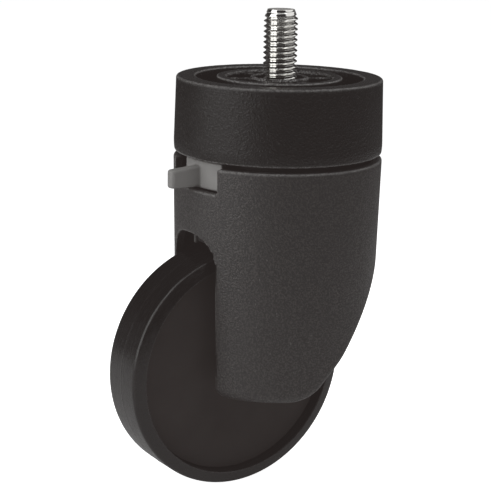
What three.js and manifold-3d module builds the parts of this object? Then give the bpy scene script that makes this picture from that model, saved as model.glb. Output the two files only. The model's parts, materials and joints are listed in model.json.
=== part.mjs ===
// A braked swivel caster with a threaded stem, for the legs of office furniture.
// Millimetres, +Z up. The origin is the centre of the mounting collar's top face, on the swivel axis.
// The wheel trails towards -X and its axle runs along Y. The near side is -Y and the far side +Y.
// Touching pieces keep a small gap, so that every piece stays a separate solid.

import * as THREE from "three";
import { mergeVertices } from "three/addons/utils/BufferGeometryUtils.js";
import Module from "manifold-3d";

const wasm = await Module();
wasm.setup();

// ---------------------------------------------------------------- driving dimensions

const DEGREE = Math.PI / 180;
const GAP = 0.3;
const ROUND_STEPS = 48;
const RING_STEPS = 32;
const SMALL_STEPS = 24;
const FINE_STEPS = 16;

// Threaded stem and kingpin, one steel piece
const threadRadius = 4.925;
const threadRootRadius = 4.05;
const threadPitch = 1.5;
const stemTop = 19;
const stemTipRadius = 3.95;
const stemLead = 2.5;
const kingpinChamfer = 1;
const threadEnd = -3.5;
const kingpinRadius = 5;
const kingpinEnd = -44.6;
const washerRadius = 9.5;
const washerTop = -41.1;
const washerBottom = -41.6;
const circlipRadius = 7.8;
const circlipTop = -41.9;
const circlipBottom = -42.9;
const hexAcrossFlats = 17;
const hexTop = -8;
const hexBottom = -12.5;

// Mounting collar
const collarTopRadius = 29.6;
const collarBottomRadius = 30.2;
const collarBottom = -21.4;
const collarTopRound = 1;
const collarBottomRound = 0.6;
const rimInnerRadius = 24.1;
const hubOuterRadius = 18;
const hubInnerRadius = 15.2;
const bossOuterRadius = 8.4;
const bossInnerRadius = 7.2;
const grooveFloor = -12;
const pocketFloor = -6;
const bossFloor = -3;
const webUnderside = -14.6;
const raceSeat = -15;
const seatWallRadius = 21.5;
const skirtInnerRadius = 28.2;
const hubRibs = 6;
const hubRibThickness = 1.2;
const hubRibAngle = 36;

// Swivel bearing
const ballRadius = 2;
const ballCount = 12;
const ballCircleRadius = 16;
const ballHeight = -18.6;
const raceGrooveRadius = ballRadius + GAP;
const raceInnerRadius = 12.6;
const raceOuterRadius = 19.4;
const upperRaceTop = -15.3;
const upperRaceBottom = -17.5;
const lowerRaceTop = -19.7;
const lowerRaceBottom = -21.9;
const cageInnerRadius = 13.4;
const cageOuterRadius = 18.6;
const cageThickness = 0.8;

// Housing cowl
const cowlTop = -22.9;
const cowlBottom = -89.5;
const cowlTopRadius = 30.163;
const cowlTaper = 0.01707;
const cowlBottomRound = 3;
const cowlTopChamfer = 0.5;
const wall = 2.6;
const slantAngle = 37.5 * DEGREE;
const slantPoint = new THREE.Vector2(0.86, -82.1);
const slantRound = 12;
const slotHalfWidth = 10.8;
const archTop = -42.6;
const archSpring = -51.9;
const archPower = 2.3;
const slotFlare = 4;
const windowHalfWidth = 11.3;
const windowBottom = -30;
const wheelSpaceRadius = 37.6;
const flangeTop = -22.2;
const flangeBottom = -24.2;
const flangeRadius = 19.4;
const kingpinBossRadius = 12.2;
const kingpinBossBottom = -40.8;
const deckTop = -32;
const deckBottom = -34.2;
const bushOuterRadius = 6.6;
const bushInnerRadius = kingpinRadius + GAP;
const bushShoulderTop = -30.3;
const bushShoulderBottom = -32.7;
const upperBushTop = -22;
const lowerBushBottom = -40.8;

// Wheel and axle
const wheelX = -16.3;
const wheelZ = -83.05;
const treadRadius = 35.2;
const treadEdgeRadius = 34.8;
const treadHalfWidth = 7.28;
const treadFlatHalfWidth = 6.8;
const tyreHalfWidth = 8.44;
const recessRadius = 31.4;
const discFace = 5;
const discBack = 3.7;
const coreHalfWidth = 3.4;
const coreRadius = 29.4;
const coreRimInnerRadius = 26.5;
const coreHubRadius = 10;
const coreWebHalfWidth = 1.2;
const coreRibs = 6;
const coreRibThickness = 2;
const axleRadius = 4;
const axleNearEnd = 18;
const axleFarEnd = 18.6;
const axleBossRadius = 8.4;
const plugRadius = 4.6;
const wheelBushRadius = 6;
const wheelBushHalfWidth = 5.6;
const spacerInnerEnd = 5.9;
const spacerRadius = 6.2;

// Brake: a lever that slides round the swivel axis presses a shoe down onto the tyre
const leverTravel = 10.5;
const brakeStroke = 2;
const brakeX = -19.5;
const leverRingInner = 12.7;
const leverRingOuter = 16.4;
const leverRingSpread = 115;
const leverTop = -25;
const leverBottom = -28;
const plateInner = 25.4;
const plateOuter = 27.8;
const plateTop = -21.9;
const plateBottom = -29.7;
const plateNearAngle = -22.4;
const plateFarAngle = 12.8;
const rampInner = 17.5;
const rampOuter = 21.5;
const rampRest = -28.6;
const rampNearAngle = -14.5;
const rampFarAngle = 4;
const tabNearY = -2.8;
const tabFarY = 0.4;
const tabReach = 37.2;
const tabRootTop = -23.4;
const tabEndTop = -24.1;
const tabBottom = -29.3;
const plungerNoseRadius = 1.2;
const plungerNoseTop = -29.6;
const plungerHeadRadius = 3.9;
const plungerHeadTop = -32.2;
const plungerHeadBottom = -33.2;
const plungerRodRadius = 2.1;
const plungerRodEnd = -41.5;
const springTubeInner = 4.2;
const springTubeOuter = 5.8;
const springLedgeTop = -39.2;
const springTubeBottom = -40.5;
const springRadius = 3.15;
const springWireRadius = 0.4;
const springTop = -33.5;
const springBottom = -38.9;
const springTurns = 4.5;
const shoeTop = -41.8;
const shoeBottom = -43.8;
const shoeFrontX = -25.2;
const shoeBackX = -13;
const shoeHalfWidth = 4;
const fingerX = -26.9;
const fingerNearY = 1.05;
const fingerFarY = 1.95;
const fingerBottom = -46.5;
const padGap = 2.35;

// ---------------------------------------------------------------- solids

// A closed geometry as a solid, with its faces turned to point outwards.
function solid(geometry) {
  const bare = geometry.index ? geometry.toNonIndexed() : geometry.clone();
  const shell = new THREE.BufferGeometry();
  shell.setAttribute("position", bare.getAttribute("position"));
  const merged = mergeVertices(shell, 1e-4);
  const points = merged.getAttribute("position");
  const corners = [0, 1, 2].map(() => new THREE.Vector3());
  const faces = [];
  let volume = 0;
  for (let i = 0; i < merged.index.count; i += 3) {
    const face = [0, 1, 2].map((k) => merged.index.getX(i + k));
    if (new Set(face).size < 3) continue;
    faces.push(face);
    face.forEach((index, k) => corners[k].fromBufferAttribute(points, index));
    volume += corners[0].dot(corners[1].clone().cross(corners[2]));
  }
  if (volume < 0) faces.forEach((face) => face.reverse());
  return new wasm.Manifold(
    new wasm.Mesh({
      numProp: 3,
      vertProperties: new Float32Array(points.array),
      triVerts: new Uint32Array(faces.flat()),
    }),
  );
}

// A solid as a geometry for a mesh.
function geometryOf(body) {
  const mesh = body.getMesh();
  const geometry = new THREE.BufferGeometry();
  geometry.setAttribute("position", new THREE.BufferAttribute(mesh.vertProperties, 3));
  geometry.setIndex(new THREE.BufferAttribute(mesh.triVerts, 1));
  geometry.computeVertexNormals();
  return geometry;
}

function join(...bodies) {
  return bodies.reduce((whole, body) => whole.add(body));
}

function cut(body, ...tools) {
  return tools.reduce((whole, tool) => whole.subtract(tool), body);
}

// A profile of [radius, height] points turned about Z.
function turned(profile, steps = ROUND_STEPS) {
  const points = profile.map(([radius, height]) => new THREE.Vector2(radius, height));
  return solid(new THREE.LatheGeometry(points, steps).rotateX(Math.PI / 2));
}

function ring(inner, outer, low, high, steps = ROUND_STEPS) {
  const section = [
    [inner, low],
    [outer, low],
    [outer, high],
    [inner, high],
    [inner, low],
  ];
  return turned(section, steps);
}

function rod(radius, low, high, x = 0, steps = SMALL_STEPS) {
  const geometry = new THREE.CylinderGeometry(radius, radius, high - low, steps);
  geometry.rotateX(Math.PI / 2);
  geometry.translate(x, 0, (low + high) / 2);
  return solid(geometry);
}

// A round bar along Y at the wheel's centre.
function crossRod(radius, low, high, steps = SMALL_STEPS) {
  const geometry = new THREE.CylinderGeometry(radius, radius, high - low, steps);
  geometry.translate(wheelX, (low + high) / 2, wheelZ);
  return solid(geometry);
}

function block(x0, x1, y0, y1, z0, z1) {
  const geometry = new THREE.BoxGeometry(x1 - x0, y1 - y0, z1 - z0);
  geometry.translate((x0 + x1) / 2, (y0 + y1) / 2, (z0 + z1) / 2);
  return solid(geometry);
}

// A block turned about Z, lying from one radius to another at an angle from +X.
function spoke(inner, outer, thickness, low, high, angle) {
  const geometry = new THREE.BoxGeometry(outer - inner, thickness, high - low);
  geometry.translate((inner + outer) / 2, 0, (low + high) / 2);
  geometry.rotateZ(angle * DEGREE);
  return solid(geometry);
}

// A shape drawn in the XZ plane, between two values of Y.
function sidePlate(shape, y0, y1, curveSegments = 12) {
  const settings = { depth: y1 - y0, bevelEnabled: false, curveSegments };
  const geometry = new THREE.ExtrudeGeometry(shape, settings);
  geometry.rotateX(Math.PI / 2);
  geometry.translate(0, y1, 0);
  return solid(geometry);
}

// A shape drawn in the YZ plane, between two values of X.
function frontPlate(shape, x0, x1) {
  const settings = { depth: x1 - x0, bevelEnabled: false, curveSegments: 8 };
  const geometry = new THREE.ExtrudeGeometry(shape, settings);
  geometry.rotateX(Math.PI / 2);
  geometry.rotateZ(Math.PI / 2);
  geometry.translate(x0, 0, 0);
  return solid(geometry);
}

// A block bent round the swivel axis. Its angles are in degrees from -X towards +Y, and its
// underside may climb with the angle.
function bentBlock(inner, outer, start, end, low, high) {
  const stepAngle = 6;
  const steps = Math.ceil((end - start) / stepAngle);
  const geometry = new THREE.BoxGeometry(1, 1, 1, steps, 1, 1);
  const points = geometry.getAttribute("position");
  for (let i = 0; i < points.count; i++) {
    const degrees = THREE.MathUtils.lerp(start, end, points.getX(i) + 0.5);
    const radius = THREE.MathUtils.lerp(inner, outer, points.getY(i) + 0.5);
    const underside = typeof low === "function" ? low(degrees) : low;
    const height = THREE.MathUtils.lerp(underside, high, points.getZ(i) + 0.5);
    const angle = degrees * DEGREE;
    points.setXYZ(i, -radius * Math.cos(angle), radius * Math.sin(angle), height);
  }
  return solid(geometry);
}

// Points on an arc, as [radius, height] pairs. Angles in degrees.
function arc(centreX, centreY, radius, start, end, steps) {
  return Array.from({ length: steps + 1 }, (_, i) => {
    const angle = THREE.MathUtils.lerp(start, end, i / steps) * DEGREE;
    return [centreX + radius * Math.cos(angle), centreY + radius * Math.sin(angle)];
  });
}

// ---------------------------------------------------------------- materials

function material(color, roughness, metalness = 0) {
  return new THREE.MeshStandardMaterial({ color, roughness, metalness });
}

const finishes = {
  collarPlastic: () => material(0x2b2827, 0.62),
  cowlPlastic: () => material(0x322f2e, 0.62),
  leverPlastic: () => material(0x7d7c7b, 0.55),
  innerPlastic: () => material(0x3a3837, 0.6),
  discPlastic: () => material(0x272322, 0.5),
  bushPlastic: () => material(0xd8d4c8, 0.45),
  tyreRubber: () => material(0x1f1d1d, 0.55),
  padRubber: () => material(0x1c1b1b, 0.8),
  zincSteel: () => material(0xc9c8c2, 0.3, 1),
  bearingSteel: () => material(0xb4b6b8, 0.2, 1),
};

function piece(name, body, finish) {
  const mesh = new THREE.Mesh(geometryOf(body), finishes[finish]());
  mesh.name = name;
  return mesh;
}

// ---------------------------------------------------------------- collar and stem

function hexagon(acrossFlats, low, high) {
  return rod(acrossFlats / Math.sqrt(3), low, high, 0, 6);
}

function mountingCollar() {
  const bottomRadius = collarBottomRadius - collarBottomRound;
  const topRadius = collarTopRadius - collarTopRound;
  const section = [
    [skirtInnerRadius, collarBottom],
    ...arc(bottomRadius, collarBottom + collarBottomRound, collarBottomRound, -90, 0, 2),
    ...arc(topRadius, -collarTopRound, collarTopRound, 0, 90, 3),
    [rimInnerRadius, 0],
    [rimInnerRadius - 0.3, grooveFloor],
    [hubOuterRadius + 0.3, grooveFloor],
    [hubOuterRadius, 0],
    [hubInnerRadius, 0],
    [hubInnerRadius - 0.2, pocketFloor],
    [bossOuterRadius + 0.2, pocketFloor],
    [bossOuterRadius, 0],
    [bossInnerRadius, 0],
    [bossInnerRadius - 0.2, bossFloor],
    [bushInnerRadius, bossFloor],
    [bushInnerRadius, raceSeat],
    [raceOuterRadius + GAP, raceSeat],
    [raceOuterRadius + GAP, collarBottom],
    [seatWallRadius, collarBottom],
    [seatWallRadius, webUnderside],
    [skirtInnerRadius, webUnderside],
    [skirtInnerRadius, collarBottom],
  ];
  const ribs = Array.from({ length: hubRibs }, (_, i) => {
    const angle = hubRibAngle + (i * 360) / hubRibs;
    const inner = bossOuterRadius - 0.4;
    return spoke(inner, hubInnerRadius + 0.4, hubRibThickness, pocketFloor - 0.5, -0.5, angle);
  });
  const hexPocket = hexagon(hexAcrossFlats + 2 * GAP, hexBottom - GAP, hexTop + GAP);
  return cut(join(turned(section), ...ribs), hexPocket);
}

function threadedStem() {
  const grooves = Math.floor((stemTop - stemLead - threadEnd) / threadPitch);
  const section = [
    [0, stemTop],
    [stemTipRadius, stemTop],
    [threadRadius, stemTop - stemLead],
  ];
  for (let i = 0; i < grooves; i++) {
    const crest = stemTop - stemLead - i * threadPitch;
    section.push([threadRootRadius, crest - threadPitch / 2]);
    section.push([threadRadius, crest - threadPitch]);
  }
  const end = kingpinEnd + kingpinChamfer;
  section.push([kingpinRadius, threadEnd - 1], [kingpinRadius, end]);
  section.push([kingpinRadius - kingpinChamfer, kingpinEnd], [0, kingpinEnd]);
  const clipGroove = ring(
    kingpinRadius - 1,
    kingpinRadius + 1,
    circlipBottom - GAP,
    circlipTop + GAP,
    FINE_STEPS,
  );
  const shank = cut(turned(section, FINE_STEPS), clipGroove);
  return shank.add(hexagon(hexAcrossFlats, hexBottom, hexTop));
}

// ---------------------------------------------------------------- swivel bearing

// A race with a round groove for the balls on one face. The side is +1 when the groove faces up.
function race(low, high, side) {
  const grooveFace = side > 0 ? high : low;
  const plainFace = side > 0 ? low : high;
  const rise = Math.abs(grooveFace - ballHeight);
  const spread = Math.asin(rise / raceGrooveRadius) / DEGREE;
  const centreAngle = -90 * side;
  const reach = 90 - spread;
  const section = [
    [raceInnerRadius, plainFace],
    [raceInnerRadius, grooveFace],
    ...arc(
      ballCircleRadius,
      ballHeight,
      raceGrooveRadius,
      centreAngle - side * reach,
      centreAngle + side * reach,
      4,
    ),
    [raceOuterRadius, grooveFace],
    [raceOuterRadius, plainFace],
    [raceInnerRadius, plainFace],
  ];
  return turned(section, SMALL_STEPS);
}

function ballPlaces() {
  return Array.from({ length: ballCount }, (_, i) => {
    const angle = ((i + 0.5) * 2 * Math.PI) / ballCount;
    return new THREE.Vector2(Math.cos(angle), Math.sin(angle)).multiplyScalar(ballCircleRadius);
  });
}

function ballCage() {
  const low = ballHeight - cageThickness / 2;
  const high = ballHeight + cageThickness / 2;
  const holes = ballPlaces().map((place) => {
    const geometry = new THREE.CylinderGeometry(raceGrooveRadius, raceGrooveRadius, 4, 10);
    geometry.rotateX(Math.PI / 2);
    geometry.translate(place.x, place.y, ballHeight);
    return solid(geometry);
  });
  return cut(ring(cageInnerRadius, cageOuterRadius, low, high, SMALL_STEPS), ...holes);
}

function bearingBall(place) {
  const geometry = new THREE.SphereGeometry(ballRadius, 8, 6);
  geometry.translate(place.x, place.y, ballHeight);
  return solid(geometry);
}

// ---------------------------------------------------------------- housing cowl

function cowlRadius(height) {
  return cowlTopRadius + cowlTaper * (height - cowlTop);
}

// The cowl's side outline in the XZ plane, drawn in by a wall thickness.
function cowlOutline(inset, top) {
  const bottom = cowlBottom + inset;
  const radius = slantRound - inset;
  const along = new THREE.Vector2(Math.sin(slantAngle), Math.cos(slantAngle));
  const inward = new THREE.Vector2(-Math.cos(slantAngle), Math.sin(slantAngle));
  const start = slantPoint.clone().addScaledVector(inward, inset);
  const corner = start.clone().addScaledVector(along, (bottom - start.y) / along.y);
  const tangent = radius * Math.tan((Math.PI / 2 - slantAngle) / 2);
  const reach = 40;
  const shape = new THREE.Shape();
  shape.moveTo(-reach, bottom);
  shape.lineTo(corner.x - tangent, bottom);
  shape.absarc(corner.x - tangent, bottom + radius, radius, -Math.PI / 2, -slantAngle, false);
  shape.lineTo(reach, start.y + ((reach - start.x) * along.y) / along.x);
  shape.lineTo(reach, top);
  shape.lineTo(-reach, top);
  return shape;
}

// The tapered round body of the cowl with its slanted back, drawn in by a wall thickness.
function cowlBody(inset, top) {
  const round = cowlBottomRound - inset;
  const bottom = cowlBottom + inset;
  const edge = cowlRadius(bottom) - inset;
  const section = [
    [0, bottom],
    ...arc(edge - round, bottom + round, round, -90, 0, 4),
    [cowlRadius(top - cowlTopChamfer) - inset, top - cowlTopChamfer],
    [cowlRadius(top) - inset - (inset ? 0 : cowlTopChamfer), top],
    [0, top],
  ];
  return turned(section).intersect(sidePlate(cowlOutline(inset, top + 5), -40, 40));
}

// The rounded arch in the front wall, with the wheel slot and its flared foot below it.
function archShape() {
  const steps = 12;
  const rise = archTop - archSpring;
  const foot = cowlBottom + slotFlare;
  const shape = new THREE.Shape();
  shape.moveTo(slotHalfWidth + slotFlare, cowlBottom - 1);
  shape.lineTo(slotHalfWidth + slotFlare, cowlBottom);
  shape.absarc(slotHalfWidth + slotFlare, foot, slotFlare, -Math.PI / 2, -Math.PI, true);
  for (let i = 0; i <= 2 * steps; i++) {
    const angle = (i / (2 * steps)) * Math.PI;
    const across = Math.cos(angle);
    const up = Math.sin(angle);
    const y = Math.sign(across) * slotHalfWidth * Math.abs(across) ** (2 / archPower);
    shape.lineTo(y, archSpring + rise * up ** (2 / archPower));
  }
  shape.absarc(-slotHalfWidth - slotFlare, foot, slotFlare, 0, -Math.PI / 2, true);
  shape.lineTo(-slotHalfWidth - slotFlare, cowlBottom - 1);
  return shape;
}

// The slot for the wheel behind the front wall, flared along its foot.
function wheelSpace(inner) {
  const slab = block(-40, 40, -slotHalfWidth, slotHalfWidth, cowlBottom - 1, deckBottom);
  const behindFront = block(brakeX, 40, -slotHalfWidth, slotHalfWidth, -130, deckBottom);
  const sweep = crossRod(wheelSpaceRadius, -slotHalfWidth, slotHalfWidth, ROUND_STEPS);
  return join(inner.intersect(slab), sweep.intersect(behindFront), frontPlate(archShape(), -40, brakeX));
}

// The flare along the rest of the slot's foot.
function footFlare() {
  const foot = cowlBottom + slotFlare;
  const shape = new THREE.Shape();
  const edge = slotHalfWidth + slotFlare;
  shape.moveTo(edge, cowlBottom - 1);
  shape.lineTo(edge, cowlBottom);
  shape.absarc(edge, foot, slotFlare, -Math.PI / 2, -Math.PI, true);
  shape.absarc(-edge, foot, slotFlare, 0, -Math.PI / 2, true);
  shape.lineTo(-edge, cowlBottom - 1);
  return frontPlate(shape, brakeX - 1, 40);
}

function axleBosses(outer) {
  const sides = [-1, 1].map((side) => {
    const low = Math.min(side * slotHalfWidth, side * 30);
    return crossRod(axleBossRadius, low, low + 30 - slotHalfWidth);
  });
  return join(...sides).intersect(outer);
}

// Stiffening ribs: three in the top trough behind the kingpin boss, and one in each cheek.
function cowlRibs(inner) {
  const ribWidth = 2;
  const troughRibs = [-35, 0, 35].map((angle) =>
    spoke(kingpinBossRadius - 0.5, 40, ribWidth, deckBottom, flangeBottom + 0.5, angle),
  );
  const cheekRib = block(wheelX - ribWidth / 2, wheelX + ribWidth / 2, -40, 40, wheelZ, -45);
  const slot = block(-40, 40, -slotHalfWidth, slotHalfWidth, -130, deckBottom);
  return join(...troughRibs, cheekRib.subtract(slot)).intersect(inner);
}

function housingCowl() {
  const outer = cowlBody(0, cowlTop);
  const inner = cowlBody(wall, cowlTop + 3);
  const grownInner = cowlBody(wall - 0.4, cowlTop + 3);
  const plate = slotHalfWidth + wall;
  const trough = inner.intersect(block(-40, 40, -40, 40, deckTop, 0));
  const nearPocket = inner.intersect(block(-40, 40, -40, -plate, -100, 0));
  const farPocket = inner.intersect(block(-40, 40, plate, 40, -100, 0));
  const shell = cut(outer, trough, nearPocket, farPocket, wheelSpace(inner), footFlare());
  const flange = ring(bushInnerRadius, flangeRadius, flangeBottom, flangeTop, RING_STEPS);
  const kingpinBoss = ring(bushInnerRadius, kingpinBossRadius, kingpinBossBottom, flangeTop, RING_STEPS);
  const springTube = rod(springTubeOuter, springTubeBottom, deckTop - 0.5, brakeX);
  const tubeWeb = block(brakeX, -kingpinBossRadius + 1, -2, 2, springTubeBottom, deckTop - 0.5);
  const solidParts = join(
    shell,
    flange,
    kingpinBoss,
    springTube,
    tubeWeb,
    axleBosses(outer),
    cowlRibs(grownInner),
  );
  const reach = 40;
  return cut(
    solidParts,
    rod(bushOuterRadius + GAP, bushShoulderTop, 0),
    rod(bushOuterRadius + GAP, kingpinBossBottom - 1, bushShoulderBottom),
    rod(bushInnerRadius + 0.2, kingpinBossBottom, 0),
    rod(springTubeInner, springLedgeTop, deckTop + 1, brakeX),
    rod(plungerRodRadius + GAP, springTubeBottom - 1, deckTop, brakeX),
    crossRod(axleRadius + GAP, -axleNearEnd - GAP, reach),
    crossRod(plugRadius + GAP, axleFarEnd + 0.1, reach),
    block(-reach, -flangeRadius - 1.5, -windowHalfWidth, windowHalfWidth, windowBottom, 0),
  );
}

// The plug that closes the axle's hole on the far side, flush with the cowl.
function axlePlug() {
  return crossRod(plugRadius, axleFarEnd + 2 * GAP, 40).intersect(cowlBody(GAP, cowlTop));
}

// ---------------------------------------------------------------- kingpin fittings

function kingpinBush(low, high) {
  return ring(bushInnerRadius, bushOuterRadius, low, high, SMALL_STEPS);
}

function kingpinWasher() {
  return ring(bushInnerRadius, washerRadius, washerBottom, washerTop, SMALL_STEPS);
}

function kingpinCirclip() {
  const body = ring(kingpinRadius - 0.7, circlipRadius, circlipBottom, circlipTop, SMALL_STEPS);
  const mouth = block(0, 10, -2, 2, -44, -41);
  return body.subtract(mouth);
}

// ---------------------------------------------------------------- brake

// The height of the ramp's underside at an angle on the lever.
function rampHeight(degrees) {
  const climb = brakeStroke / leverTravel;
  return Math.min(rampRest + climb * degrees, leverBottom);
}

function leverTab() {
  const round = 1.2;
  const root = plateOuter - 1;
  const shape = new THREE.Shape();
  shape.moveTo(-root, tabBottom);
  shape.lineTo(-root, tabRootTop);
  shape.lineTo(-tabReach + round, tabEndTop);
  shape.quadraticCurveTo(-tabReach, tabEndTop, -tabReach, tabEndTop - round);
  shape.lineTo(-tabReach, tabBottom + round);
  shape.quadraticCurveTo(-tabReach, tabBottom, -tabReach + round, tabBottom);
  return sidePlate(shape, tabNearY, tabFarY, 4);
}

function brakeLever() {
  const spread = leverRingSpread;
  const clip = bentBlock(leverRingInner, leverRingOuter, -spread, spread, leverBottom, leverTop);
  const web = bentBlock(leverRingOuter - 0.4, plateInner + 0.2, -20, 10, leverBottom, leverTop);
  const plate = bentBlock(plateInner, plateOuter, plateNearAngle, plateFarAngle, plateBottom, plateTop);
  const ramp = bentBlock(rampInner, rampOuter, rampNearAngle, rampFarAngle, rampHeight, leverTop);
  return join(clip, web, plate, ramp, leverTab());
}

function brakePlunger() {
  return join(
    rod(plungerNoseRadius, plungerHeadTop - 0.5, plungerNoseTop, brakeX, 16),
    rod(plungerHeadRadius, plungerHeadBottom, plungerHeadTop, brakeX),
    rod(plungerRodRadius, plungerRodEnd, plungerHeadTop - 0.5, brakeX, 16),
  );
}

// A helical spring round the plunger's rod.
class Helix extends THREE.Curve {
  getPoint(t, target = new THREE.Vector3()) {
    const angle = t * springTurns * 2 * Math.PI;
    const height = THREE.MathUtils.lerp(springBottom + springWireRadius, springTop - springWireRadius, t);
    return target.set(
      brakeX + springRadius * Math.cos(angle),
      springRadius * Math.sin(angle),
      height,
    );
  }
}

function brakeSpring() {
  const wire = new THREE.Shape();
  wire.absarc(0, 0, springWireRadius, 0, 2 * Math.PI, false);
  const settings = {
    steps: Math.round(springTurns * 10),
    curveSegments: 3,
    bevelEnabled: false,
    extrudePath: new Helix(),
  };
  return solid(new THREE.ExtrudeGeometry(wire, settings));
}

function brakeShoe() {
  const carrier = block(shoeFrontX, shoeBackX, -shoeHalfWidth, shoeHalfWidth, shoeBottom, shoeTop);
  const fingerBack = shoeFrontX + 0.1;
  const finger = block(fingerX, fingerBack, fingerNearY, fingerFarY, fingerBottom, shoeTop);
  return carrier.add(finger);
}

// The friction pad, with its underside hollowed to the curve of the tread.
function brakePad() {
  const front = shoeFrontX + 0.4;
  const back = shoeBackX - 0.4;
  const half = shoeHalfWidth - 0.4;
  const body = block(front, back, -half, half, shoeBottom - 4, shoeBottom - GAP);
  return body.subtract(crossRod(treadRadius + padGap, -10, 10, 2 * ROUND_STEPS));
}

// ---------------------------------------------------------------- wheel

// The wheel's pieces are turned about Z and then laid over, so height here is the place along the axle.
function tyre() {
  const half = [
    [coreRadius + GAP, coreHalfWidth + 0.1],
    [recessRadius, coreHalfWidth + 0.1],
    [recessRadius, tyreHalfWidth],
    [treadEdgeRadius, treadHalfWidth],
    [treadRadius, treadFlatHalfWidth],
  ];
  const otherHalf = half.map(([radius, height]) => [radius, -height]).reverse();
  return turned([...half, ...otherHalf, half[0]]);
}

function wheelCore() {
  const bore = wheelBushRadius + GAP;
  const hub = ring(bore, coreHubRadius, -coreHalfWidth, coreHalfWidth, FINE_STEPS);
  const webInner = coreHubRadius - 1;
  const webOuter = coreRimInnerRadius + 1;
  const web = ring(webInner, webOuter, -coreWebHalfWidth, coreWebHalfWidth, RING_STEPS);
  const rim = ring(coreRimInnerRadius, coreRadius, -coreHalfWidth, coreHalfWidth, RING_STEPS);
  const ribs = Array.from({ length: coreRibs }, (_, i) =>
    spoke(
      webInner,
      webOuter,
      coreRibThickness,
      -coreHalfWidth + 0.2,
      coreHalfWidth - 0.2,
      (i * 360) / coreRibs,
    ),
  );
  return join(hub, web, rim, ...ribs);
}

function wheelBush() {
  const bore = axleRadius + GAP;
  return ring(bore, wheelBushRadius, -wheelBushHalfWidth, wheelBushHalfWidth, SMALL_STEPS);
}

function coverDisc(side) {
  const low = Math.min(side * discBack, side * discFace);
  return ring(wheelBushRadius + 0.4, recessRadius - GAP, low, low + discFace - discBack);
}

function axleSpacer(side) {
  const outerEnd = slotHalfWidth - GAP;
  const low = Math.min(side * spacerInnerEnd, side * outerEnd);
  const sleeve = crossRod(spacerRadius, low, low + outerEnd - spacerInnerEnd);
  return sleeve.subtract(crossRod(axleRadius + GAP, -20, 20));
}

// ---------------------------------------------------------------- assembly

function body(name, ...meshes) {
  const group = new THREE.Group();
  group.name = name;
  group.add(...meshes);
  return group;
}

const collar = body(
  "collar_body",
  piece("mounting_collar", mountingCollar(), "collarPlastic"),
  piece("threaded_stem", threadedStem(), "zincSteel"),
  piece("upper_race", race(upperRaceBottom, upperRaceTop, -1), "bearingSteel"),
  piece("kingpin_washer", kingpinWasher(), "zincSteel"),
  piece("kingpin_circlip", kingpinCirclip(), "bearingSteel"),
);

const ballRing = body(
  "ball_ring_body",
  piece("ball_cage", ballCage(), "bushPlastic"),
  ...ballPlaces().map((place, i) => {
    const number = String(i + 1).padStart(2, "0");
    return piece("bearing_ball_" + number, bearingBall(place), "bearingSteel");
  }),
);

const housing = body(
  "housing_body",
  piece("housing_cowl", housingCowl(), "cowlPlastic"),
  piece("lower_race", race(lowerRaceBottom, lowerRaceTop, 1), "bearingSteel"),
  piece("kingpin_bush_upper", kingpinBush(bushShoulderTop + GAP, upperBushTop), "bushPlastic"),
  piece("kingpin_bush_lower", kingpinBush(lowerBushBottom, bushShoulderBottom - GAP), "bushPlastic"),
  piece("axle", crossRod(axleRadius, -axleNearEnd, axleFarEnd), "zincSteel"),
  piece("axle_plug", axlePlug(), "cowlPlastic"),
  piece("axle_spacer_near", axleSpacer(-1), "bushPlastic"),
  piece("axle_spacer_far", axleSpacer(1), "bushPlastic"),
  piece("brake_spring", brakeSpring(), "bearingSteel"),
);

const lever = body("lever_body", piece("brake_lever", brakeLever(), "leverPlastic"));

const shoe = body(
  "shoe_body",
  piece("brake_plunger", brakePlunger(), "zincSteel"),
  piece("brake_shoe", brakeShoe(), "leverPlastic"),
  piece("brake_pad", brakePad(), "padRubber"),
);

const wheel = body(
  "wheel_body",
  piece("tyre", tyre(), "tyreRubber"),
  piece("wheel_core", wheelCore(), "innerPlastic"),
  piece("wheel_bush", wheelBush(), "bushPlastic"),
  piece("cover_disc_near", coverDisc(1), "discPlastic"),
  piece("cover_disc_far", coverDisc(-1), "discPlastic"),
);
wheel.position.set(wheelX, 0, wheelZ);
wheel.rotation.x = Math.PI / 2;

const caster = new THREE.Group();
caster.name = "braked_swivel_caster";
caster.add(collar, ballRing, housing, lever, shoe, wheel);

export default caster;
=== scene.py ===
"""A braked swivel caster with a threaded stem, on a pale studio floor.

Shapes are worked out in millimetres in the part's own frame, and become metres when a mesh is made.
Moulded pieces are described by a field, which is negative inside the plastic, so that every edge
gets its real radius.
"""

import json
import math

import bpy
import numpy as np
from mathutils import Matrix, Vector


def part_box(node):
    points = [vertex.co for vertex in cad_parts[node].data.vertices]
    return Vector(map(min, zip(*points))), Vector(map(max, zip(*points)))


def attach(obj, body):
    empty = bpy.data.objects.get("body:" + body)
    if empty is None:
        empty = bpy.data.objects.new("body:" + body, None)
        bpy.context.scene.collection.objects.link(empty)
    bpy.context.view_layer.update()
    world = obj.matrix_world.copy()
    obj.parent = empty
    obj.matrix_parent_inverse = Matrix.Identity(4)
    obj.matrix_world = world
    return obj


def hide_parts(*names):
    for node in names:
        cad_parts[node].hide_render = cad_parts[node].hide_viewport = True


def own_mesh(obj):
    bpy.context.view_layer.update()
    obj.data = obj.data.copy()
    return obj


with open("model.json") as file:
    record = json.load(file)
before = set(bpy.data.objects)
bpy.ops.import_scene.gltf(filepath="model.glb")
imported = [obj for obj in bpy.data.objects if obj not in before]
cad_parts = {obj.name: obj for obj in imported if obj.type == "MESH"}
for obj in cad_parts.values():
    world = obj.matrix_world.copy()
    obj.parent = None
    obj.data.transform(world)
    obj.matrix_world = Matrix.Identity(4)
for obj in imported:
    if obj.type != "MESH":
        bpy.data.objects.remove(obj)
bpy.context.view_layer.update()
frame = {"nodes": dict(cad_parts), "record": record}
MM = 0.001


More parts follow.
